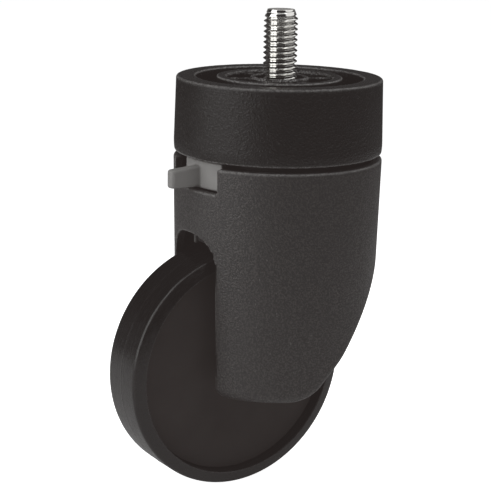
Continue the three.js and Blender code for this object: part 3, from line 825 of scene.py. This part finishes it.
def cowl_field(x, y, z):
    """The whole cowl: its walls and cheeks, the deck, the boss, the brake's tube and every bore."""
    body = cowl_body(x, y, z)
    inner = body + WALL
    outer = both(body, z - COWL_TOP, 0.6)
    trough = both(inner, DECK_RANGE[1] - z)
    pocket = both(inner, SLOT_HALF + WALL - np.abs(y))
    solid = without(outer, either(trough, pocket), 0.5)
    solid = without(solid, wheel_space(x, y, z, inner), 0.25)

    radius = np.hypot(x, y)
    flange = both(radius - FLANGE_RADIUS, between(z, *FLANGE_RANGE), 0.3)
    boss = both(radius - BOSS_RADIUS, between(z, BOSS_BOTTOM, FLANGE_RANGE[1]), 0.3)
    tube_radius = np.hypot(x - BRAKE_X, y)
    tube = both(tube_radius - TUBE_OUTER, between(z, TUBE_BOTTOM, DECK_RANGE[1] - 0.5), 0.3)
    web = both(np.abs(y) - WEB_HALF, between(z, TUBE_BOTTOM, DECK_RANGE[1] - 0.5))
    web = both(web, between(x, BRAKE_X, 1 - BOSS_RADIUS))
    axle = np.hypot(x - WHEEL_X, z - WHEEL_Z)
    axle_boss = both(axle - AXLE_BOSS, both(SLOT_HALF - np.abs(y), body + 1.5))
    parts = either(either(flange, boss), either(either(tube, web), axle_boss))
    solid = either(solid, either(parts, cowl_ribs(x, y, z, inner)), 0.4)

    solid = without(solid, both(radius - BUSH_POCKET, BUSH_SHOULDER[1] - z))
    solid = without(solid, both(radius - BUSH_POCKET, z - BUSH_SHOULDER[0]))
    solid = without(solid, radius - SHOULDER_BORE)
    solid = without(solid, both(tube_radius - TUBE_INNER, between(z, TUBE_LEDGE, FLANGE_RANGE[0] - 1)))
    solid = without(solid, both(tube_radius - ROD_HOLE, between(z, TUBE_BOTTOM - 1, TUBE_LEDGE + 1)))
    axle_bore = both(axle - AXLE_RADIUS - GAP, AXLE_NEAR_END - GAP - y, 0.6)
    plug_bore = both(axle - PLUG_RADIUS - GAP, AXLE_FAR_END + 0.1 - y)
    solid = without(solid, either(axle_bore, plug_bore), 0.2)
    window = both(np.abs(y) - WINDOW_HALF, WINDOW_BOTTOM - z, 0.8)
    return without(solid, both(window, x + FLANGE_RADIUS + 1.5), 0.5)


def plug_field(x, y, z):
    """The plug that closes the axle's bore, flush with the cheek and slightly dished."""
    axle = np.hypot(x - WHEEL_X, z - WHEEL_Z)
    plug = both(axle - PLUG_RADIUS, cowl_body(x, y, z) + GAP, 0.4)
    plug = both(plug, AXLE_FAR_END + 2 * GAP - y, 0.2)
    return without(plug, both(axle - 1.6, cowl_body(x, y, z) + 1.0), 0.3)


# ------------------------------------------------------------------ brake

def lever_field(x, y, z):
    """The lever: a clip round the boss, the web, the ramp, the plate in the window and its tab."""
    radius = np.hypot(x, y)
    degrees = np.degrees(np.arctan2(y, -x))
    reach = np.maximum(radius, 1.0)

    def sector(start, end):
        middle, half = (start + end) / 2, (end - start) / 2
        return np.radians(np.abs(degrees - middle) - half) * reach

    clip = both(between(radius, *RING_RANGE), sector(-RING_SPREAD, RING_SPREAD), 0.8)
    clip = both(clip, between(z, ARM_BOTTOM, ARM_TOP), 0.3)
    web = both(between(radius, RING_RANGE[1] - 0.4, PLATE_RANGE[0] + 0.2), sector(*WEB_ANGLES))
    web = both(web, between(z, ARM_BOTTOM, ARM_TOP), 0.3)
    plate = both(between(radius, *PLATE_RANGE), sector(*PLATE_ANGLES), 0.4)
    plate = both(plate, between(z, PLATE_BOTTOM, LEVER_TOP), 0.5)
    climb = RAMP_CLIMB * degrees + RAMP_LEVEL
    ramp = both(between(radius, *RAMP_RANGE), sector(*RAMP_ANGLES), 0.2)
    ramp = both(ramp, between(z, np.minimum(climb, ARM_BOTTOM), ARM_TOP), 0.2)

    root = -PLATE_RANGE[1]
    slope = (TAB_ROOT_TOP - TAB_END_TOP) / (root - TAB_END)
    top = z - TAB_END_TOP - slope * (x - TAB_END)
    outline = both(TAB_END - x, between(y, *TAB_SIDES), TAB_ROUND)
    outline = both(outline, top, 0.7)
    tab = both(outline, TAB_BOTTOM - z, 0.7)
    tab = both(tab, x - root - 1.0)
    arm = either(either(clip, web, 0.4), ramp)
    return either(either(arm, plate, 0.4), tab, 0.5)


def shoe_field(x, y, z):
    """The shoe: a flat carrier over the pad, and the thin finger that hangs from its front."""
    low, high = box_mm("brake_shoe")
    carrier_front = low[0] + CARRIER_INSET
    carrier = both(between(x, carrier_front, high[0]), np.abs(y) - high[1], 0.9)
    carrier = both(carrier, between(z, high[2] - CARRIER_HEIGHT, high[2]), 0.3)
    finger = between(x, low[0], carrier_front + 0.5)
    finger = both(finger, np.abs(y - FINGER_Y) - FINGER_HALF, FINGER_ROUND)
    finger = both(finger, low[2] - z, 0.5)
    finger = both(finger, z - high[2], 0.2)
    root = np.maximum(z - high[2] + CARRIER_HEIGHT, 0) * 2
    slim = both(finger, x - low[0] - FINGER_DEPTH - root)
    return either(carrier, slim, 0.2)


def pad_field(x, y, z):
    """The brake's pad, hollowed to the curve of the tread."""
    low, high = box_mm("brake_pad")
    body = both(between(x, low[0], high[0]), np.abs(y) - high[1], 0.8)
    body = both(body, between(z, low[2] - 2, high[2]), 0.2)
    tread = np.hypot(x - WHEEL_X, z - WHEEL_Z) - TREAD_RADIUS - PAD_STANDOFF
    return without(body, tread, 0.2)


def make_spring():
    """The return spring, a round wire wound as a helix and flat on its two end turns."""
    low, high = box_mm("brake_spring")
    wire = SPRING_WIRE
    radius = (high[1] - low[1]) / 2 - wire
    rings, round_steps = 220, 10
    t = np.linspace(0, 1, rings)
    angle = t * SPRING_TURNS * 2 * math.pi
    height = low[2] + wire + (high[2] - low[2] - 2 * wire) * smooth_step(t, 0.04, 0.96)
    out = np.stack([np.cos(angle), np.sin(angle), np.zeros(rings)], 1)
    centre = out * radius + np.stack([np.full(rings, BRAKE_X), np.zeros(rings), height], 1)
    section = np.linspace(0, 2 * math.pi, round_steps, endpoint=False)
    up = np.array([0, 0, 1.0])
    ring = centre[:, None] + wire * (
        np.cos(section)[None, :, None] * out[:, None] + np.sin(section)[None, :, None] * up
    )
    faces = [tuple(reversed(f)) for f in capped_faces(rings, round_steps)]
    return make_object("brake_spring_wound", ring.reshape(-1, 3), faces)


# ------------------------------------------------------------------ wheel

def tyre_profile():
    """The tyre's closed profile of (radius, place along the axle), with a faint parting line."""
    side = np.linspace(0.4, TREAD_FLAT, 9)
    places = np.concatenate((-side[::-1], np.linspace(-0.3, 0.3, 7), side))
    line = PARTING_LINE * np.exp(-((places / 0.15) ** 2))
    crown = 0.05 * (places / TREAD_FLAT) ** 2
    tread = np.stack((TREAD_RADIUS - PARTING_LINE - crown + line, places), 1)
    shoulder = TREAD_RADIUS - PARTING_LINE - 0.05
    half = [
        (shoulder, TREAD_FLAT - 0.1, 0.4),
        (TREAD_RADIUS - TREAD_DROP, TREAD_HALF, 0.4),
        (RECESS_RADIUS, TYRE_HALF, 0.45),
        (RECESS_RADIUS, TYRE_SEAT, 0.2),
        (TYRE_INNER, TYRE_SEAT, 0.2),
    ]
    mirrored = [(radius, -place, edge) for radius, place, edge in reversed(half)]
    return np.concatenate((tread[1:-1], rounded(half + mirrored)))


def ring_profile(inner, outer, low, high):
    return [(inner, low), (outer, low), (outer, high), (inner, high)]


def wheel_turned(name, profile, steps):
    """A ring turned about the wheel's axle."""
    return turned(name, profile, steps, centre=(WHEEL_X, 0, WHEEL_Z), along_y=True)


def make_wheel():
    """The tyre, the two cover discs, the bush, the spacers and the axle."""
    stand_for(wheel_turned("tyre_moulded", tyre_profile(), 256), "tyre")
    for side, node in ((-1, "cover_disc_near"), (1, "cover_disc_far")):
        low, high = sorted((side * DISC_BACK, side * DISC_FACE))
        outer = RECESS_RADIUS - GAP
        profile = rounded(ring_profile(DISC_BORE, outer, low, high), 0.25)
        stand_for(wheel_turned(node + "_moulded", profile, 192), node)
    bush = rounded(ring_profile(*BUSH_RADII, -BUSH_HALF, BUSH_HALF), 0.3)
    stand_for(wheel_turned("wheel_bush_turned", bush, 64), "wheel_bush")
    for side, node in ((-1, "axle_spacer_near"), (1, "axle_spacer_far")):
        low, high = sorted((side * SPACER_START, side * (SLOT_HALF - GAP)))
        profile = rounded(ring_profile(*SPACER_RADII, low, high), 0.35)
        stand_for(wheel_turned(node + "_turned", profile, 64), node)
    chamfer = AXLE_CHAMFER
    ends = [AXLE_NEAR_END, AXLE_NEAR_END + chamfer, AXLE_FAR_END - chamfer, AXLE_FAR_END]
    radii = [AXLE_RADIUS - chamfer, AXLE_RADIUS, AXLE_RADIUS, AXLE_RADIUS - chamfer]
    axle = barrel("axle_turned", radii, ends, 64, (WHEEL_X, 0, WHEEL_Z), along_y=True)
    stand_for(axle, "axle")


# ------------------------------------------------------------------ swivel bearing

def make_bearing():
    """The two races, each with its round track, and the twelve balls between them."""
    inner, outer = RACE_RADII
    for node, (low, high), side in (("upper_race", UPPER_RACE, -1), ("lower_race", LOWER_RACE, 1)):
        face = high if side > 0 else low
        back = low if side > 0 else high
        spread = math.acos(abs(face - BALL_HEIGHT) / TRACK_RADIUS)
        centre = -side * math.pi / 2
        arc = [
            (BALL_CIRCLE + TRACK_RADIUS * math.cos(a), BALL_HEIGHT + TRACK_RADIUS * math.sin(a))
            for a in np.linspace(centre - side * spread, centre + side * spread, 13)
        ]
        profile = [(inner, back), (inner, face), *arc, (outer, face), (outer, back)]
        if side > 0:
            profile = profile[::-1]
        stand_for(turned(node + "_ground", profile, 96), node)
    for number in range(1, 13):
        node = f"bearing_ball_{number:02d}"
        low, high = box_mm(node)
        centre = (low + high) / 2
        latitude = np.linspace(-math.pi / 2 + 0.05, math.pi / 2 - 0.05, 20)
        radius = BALL_RADIUS * np.cos(latitude)
        height = BALL_RADIUS * np.sin(latitude)
        stand_for(barrel(node + "_ground", radius, height, 32, centre), node)


# ------------------------------------------------------------------ the object

def make_moulded_pieces():
    """The pieces described by fields, each with the step of the grid that its surface is found on."""
    moulds = (
        ("mounting_collar", collar_field, 0.42),
        ("housing_cowl", cowl_field, 0.5),
        ("brake_lever", lever_field, 0.3),
        ("brake_shoe", shoe_field, 0.16),
        ("brake_pad", pad_field, 0.2),
        ("axle_plug", plug_field, 0.2),
    )
    for node, field, step in moulds:
        low, high = box_mm(node)
        piece = moulded(node + "_moulded", field, low, high, step)
        stand_for(piece, node)


def finish_cad_nodes():
    """The CAD nodes that stay get their finish and eased edges."""
    for name, node in frame["nodes"].items():
        if node.hide_render:
            continue
        node.data.materials.clear()
        node.data.materials.append(SLOT_MATERIALS[SLOT_OF_NODE[name]])
        bevel = node.modifiers.new("eased_edges", "BEVEL")
        bevel.width = EASED_EDGE * MM
        bevel.segments = 2
        bevel.limit_method = "ANGLE"
        bevel.angle_limit = SHARP_ANGLE


make_moulded_pieces()
stand_for(make_stem(), "threaded_stem")
make_wheel()
make_bearing()
spring = stand_for(make_spring(), "brake_spring")
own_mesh(spring)
finish_cad_nodes()


# ------------------------------------------------------------------ studio

# lengths here are in metres and angles in degrees
FLOOR_Z = TYRE_LOW[2] * MM
FLOOR_HALF = 3.0
CAMERA_AZIMUTH = -33.165
CAMERA_ELEVATION = 13.812
CAMERA_ROLL = 1.172
CAMERA_DISTANCE = 0.42453
CAMERA_TARGET = (-0.010397, 0.00011, -0.048715)
CAMERA_LENS = 107.1
LIGHT_TARGET = (0, 0, -0.05)
LIGHT_DISTANCE = 0.95
BEHIND = (0.55, 0.84, 0)
FILL_FRONT = 0.02
FILL_BACK = 0.13
FILL_TOP = 0.38
# a little below zero, so that black comes out as a very dark warm grey
BLACK_LEVEL = (-0.0175, -0.014, -0.0132)


def make_floor():
    """A pale floor that the camera sees as pure white, and that darkens away from the object."""
    mesh = bpy.data.meshes.new("studio_floor")
    half = FLOOR_HALF
    corners = [(x, y, FLOOR_Z) for x, y in ((-half, -half), (half, -half), (half, half), (-half, half))]
    mesh.from_pydata(corners, [], [(0, 1, 2, 3)])
    floor = bpy.data.objects.new("studio_floor", mesh)
    bpy.context.scene.collection.objects.link(floor)
    n = Nodes("pale_floor")
    paper = n.mix(n.spread(n.noise(60, detail=2), 0, 1), (0.84, 0.84, 0.84), (0.9, 0.9, 0.9))
    away = n.add("ShaderNodeVectorMath", operation="LENGTH")
    n.link(n.place, away.inputs[0])
    tone = n.mix(n.spread(away.outputs["Value"], 0, 1, 0.32, 0.52), paper, (0.15, 0.15, 0.15))
    rough = n.spread(n.noise(20), 0.7, 0.8)
    glow = n.add("ShaderNodeLightPath").outputs["Is Camera Ray"]
    n.link(n.spread(glow, 0.0, 1.0, 0, 1), n.shader.inputs["Emission Strength"])
    n.shader.inputs["Emission Color"].default_value = (1, 1, 1, 1)
    floor.data.materials.append(n.finish(tone, rough, Specular_IOR_Level=0.0))


def make_world():
    """White behind the object for the camera.

    What lights the object is a soft grey surround at its sides and back.
    """
    world = bpy.data.worlds.new("studio")
    world.use_nodes = True
    bpy.context.scene.world = world
    tree = world.node_tree
    tree.nodes.clear()

    def background():
        node = tree.nodes.new("ShaderNodeBackground")
        node.inputs["Color"].default_value = (1, 1, 1, 1)
        node.inputs["Strength"].default_value = 1.0
        return node

    def step(value, low, high, start, end):
        node = tree.nodes.new("ShaderNodeMapRange")
        node.interpolation_type = "SMOOTHSTEP"
        for key, number in (("From Min", low), ("From Max", high), ("To Min", start), ("To Max", end)):
            node.inputs[key].default_value = number
        tree.links.new(value, node.inputs["Value"])
        return node.outputs["Result"]

    def product(a, b):
        node = tree.nodes.new("ShaderNodeMath")
        node.operation = "MULTIPLY"
        tree.links.new(a, node.inputs[0])
        tree.links.new(b, node.inputs[1])
        return node.outputs["Value"]

    direction = tree.nodes.new("ShaderNodeTexCoord").outputs["Generated"]
    behind = tree.nodes.new("ShaderNodeVectorMath")
    behind.operation = "DOT_PRODUCT"
    behind.inputs[1].default_value = BEHIND
    tree.links.new(direction, behind.inputs[0])
    parts = tree.nodes.new("ShaderNodeSeparateXYZ")
    tree.links.new(direction, parts.inputs[0])
    around = step(behind.outputs["Value"], -0.3, 0.3, 0.0, 1.0)
    low_down = step(parts.outputs["Z"], 0.0, FILL_TOP, 1.0, 0.0)
    fill = background()
    strength = step(product(around, low_down), 0, 1, FILL_FRONT, FILL_BACK)
    tree.links.new(strength, fill.inputs["Strength"])
    path = tree.nodes.new("ShaderNodeLightPath")
    choice = tree.nodes.new("ShaderNodeMixShader")
    out = tree.nodes.new("ShaderNodeOutputWorld")
    tree.links.new(path.outputs["Is Camera Ray"], choice.inputs[0])
    tree.links.new(fill.outputs[0], choice.inputs[1])
    tree.links.new(background().outputs[0], choice.inputs[2])
    tree.links.new(choice.outputs[0], out.inputs["Surface"])


def softbox(name, turn, rise, width, height, power):
    """A soft light aimed at the object, at so many degrees to the camera's right and above level."""
    angle = math.radians(CAMERA_AZIMUTH - 90 + turn)
    lift = math.radians(rise)
    across = math.cos(lift)
    towards = Vector((math.cos(angle) * across, math.sin(angle) * across, math.sin(lift)))
    light = bpy.data.lights.new(name, "AREA")
    light.shape = "RECTANGLE"
    light.size = width
    light.size_y = height
    light.energy = power
    lamp = bpy.data.objects.new(name, light)
    bpy.context.scene.collection.objects.link(lamp)
    lamp.location = Vector(LIGHT_TARGET) + LIGHT_DISTANCE * towards
    lamp.rotation_mode = "QUATERNION"
    lamp.rotation_quaternion = (-towards).to_track_quat("-Z", "Y")


def make_camera():
    """The camera, at its azimuth and elevation round the target and with a slight roll."""
    azimuth = math.radians(CAMERA_AZIMUTH)
    elevation = math.radians(CAMERA_ELEVATION)
    roll = math.radians(CAMERA_ROLL)
    target = Vector(CAMERA_TARGET)
    back = Vector(
        (
            math.sin(azimuth) * math.cos(elevation),
            -math.cos(azimuth) * math.cos(elevation),
            math.sin(elevation),
        )
    )
    right = Vector((math.cos(azimuth), math.sin(azimuth), 0))
    up = back.cross(right)
    rolled_right = right * math.cos(roll) + up * math.sin(roll)
    rolled_up = up * math.cos(roll) - right * math.sin(roll)
    data = bpy.data.cameras.new("camera")
    data.sensor_width = 36
    data.lens = CAMERA_LENS
    data.clip_start = 0.01
    data.clip_end = 20
    camera = bpy.data.objects.new("camera", data)
    bpy.context.scene.collection.objects.link(camera)
    turn = Matrix((rolled_right, rolled_up, back)).transposed()
    camera.matrix_world = Matrix.Translation(target + back * CAMERA_DISTANCE) @ turn.to_4x4()
    bpy.context.scene.camera = camera


def make_studio():
    """The floor, the surround, the camera and five soft lights, one high over the object."""
    make_floor()
    make_world()
    make_camera()
    softbox("key_left", -48, 8, 0.45, 0.9, 3.3)
    softbox("side_left", -78, 10, 0.4, 0.9, 2.7)
    softbox("high_left", -65, 50, 0.6, 0.6, 1.7)
    softbox("high_right", 95, 50, 1.6, 1.0, 4.8)
    softbox("overhead", 0, 62, 1.3, 0.36, 2.0)
    scene = bpy.context.scene
    scene.view_settings.view_transform = "Standard"
    scene.view_settings.look = "None"
    scene.view_settings.use_curve_mapping = True
    scene.view_settings.curve_mapping.black_level = BLACK_LEVEL


make_studio()
